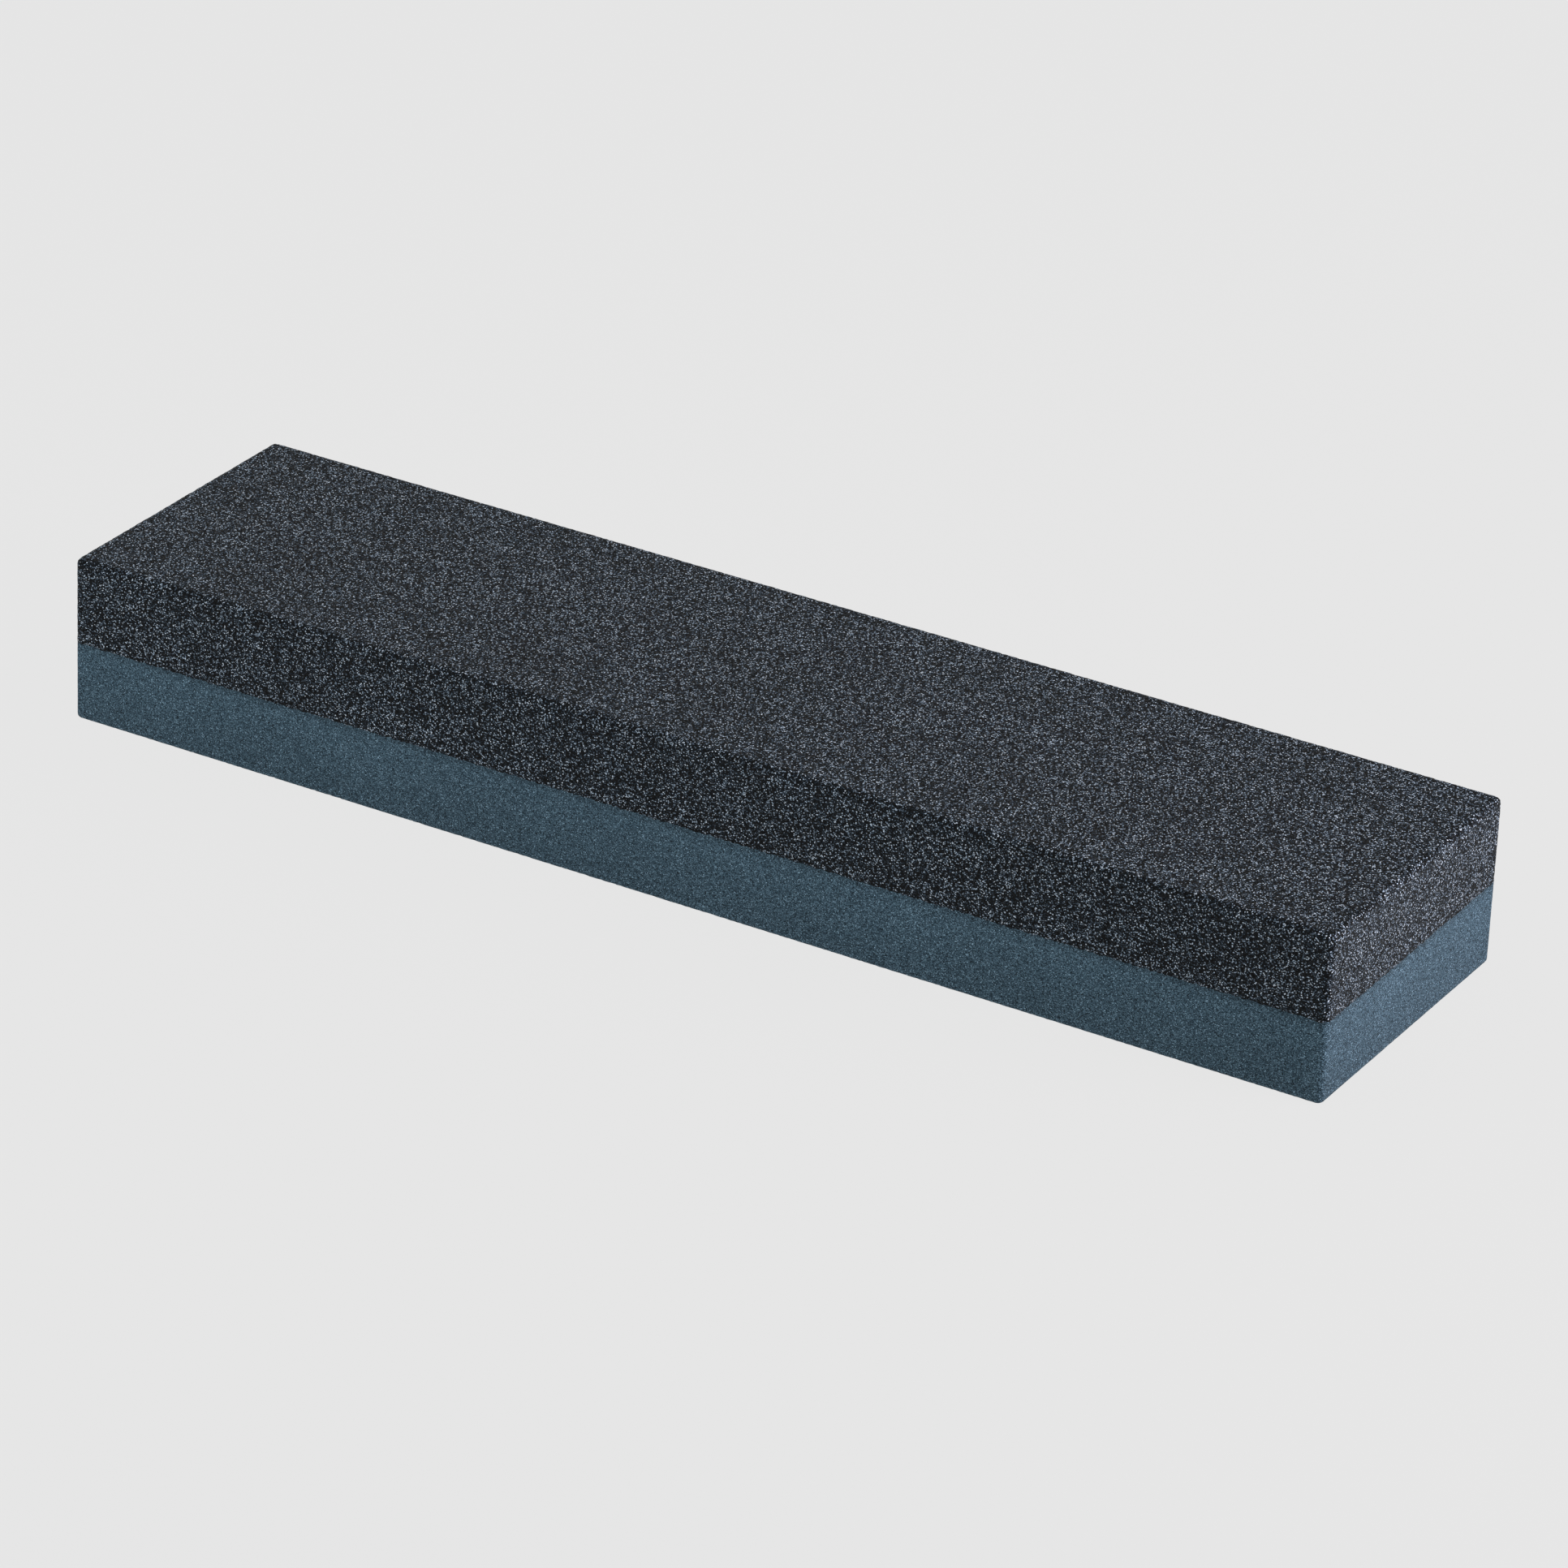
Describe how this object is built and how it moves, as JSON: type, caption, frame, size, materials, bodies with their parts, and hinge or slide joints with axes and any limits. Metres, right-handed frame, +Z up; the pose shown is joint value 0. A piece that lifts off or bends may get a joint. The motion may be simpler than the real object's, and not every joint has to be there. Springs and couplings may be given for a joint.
{
  "type": "two-grit bench stone",
  "caption": "Rectangular sharpening stone with a dark coarse grit layer fired onto a blue-grey fine grit layer, both faces flat, corners eased.",
  "frame": {"origin": "middle of the fine face, which the stone lies on", "axes": "+X along the length, +Y across the width, +Z up through the thickness from the fine face to the coarse face"},
  "size_m": [0.2, 0.05, 0.025],
  "materials": {
    "coarse_grit": "coarse vitrified silicon carbide, open grain with bright crystal facets",
    "fine_grit": "fine vitrified silicon carbide, matt blue-grey with a close speckle"
  },
  "bodies": {
    "root": {"coarse_grit_layer": "coarse_grit", "fine_grit_layer": "fine_grit"}
  },
  "joints": []
}
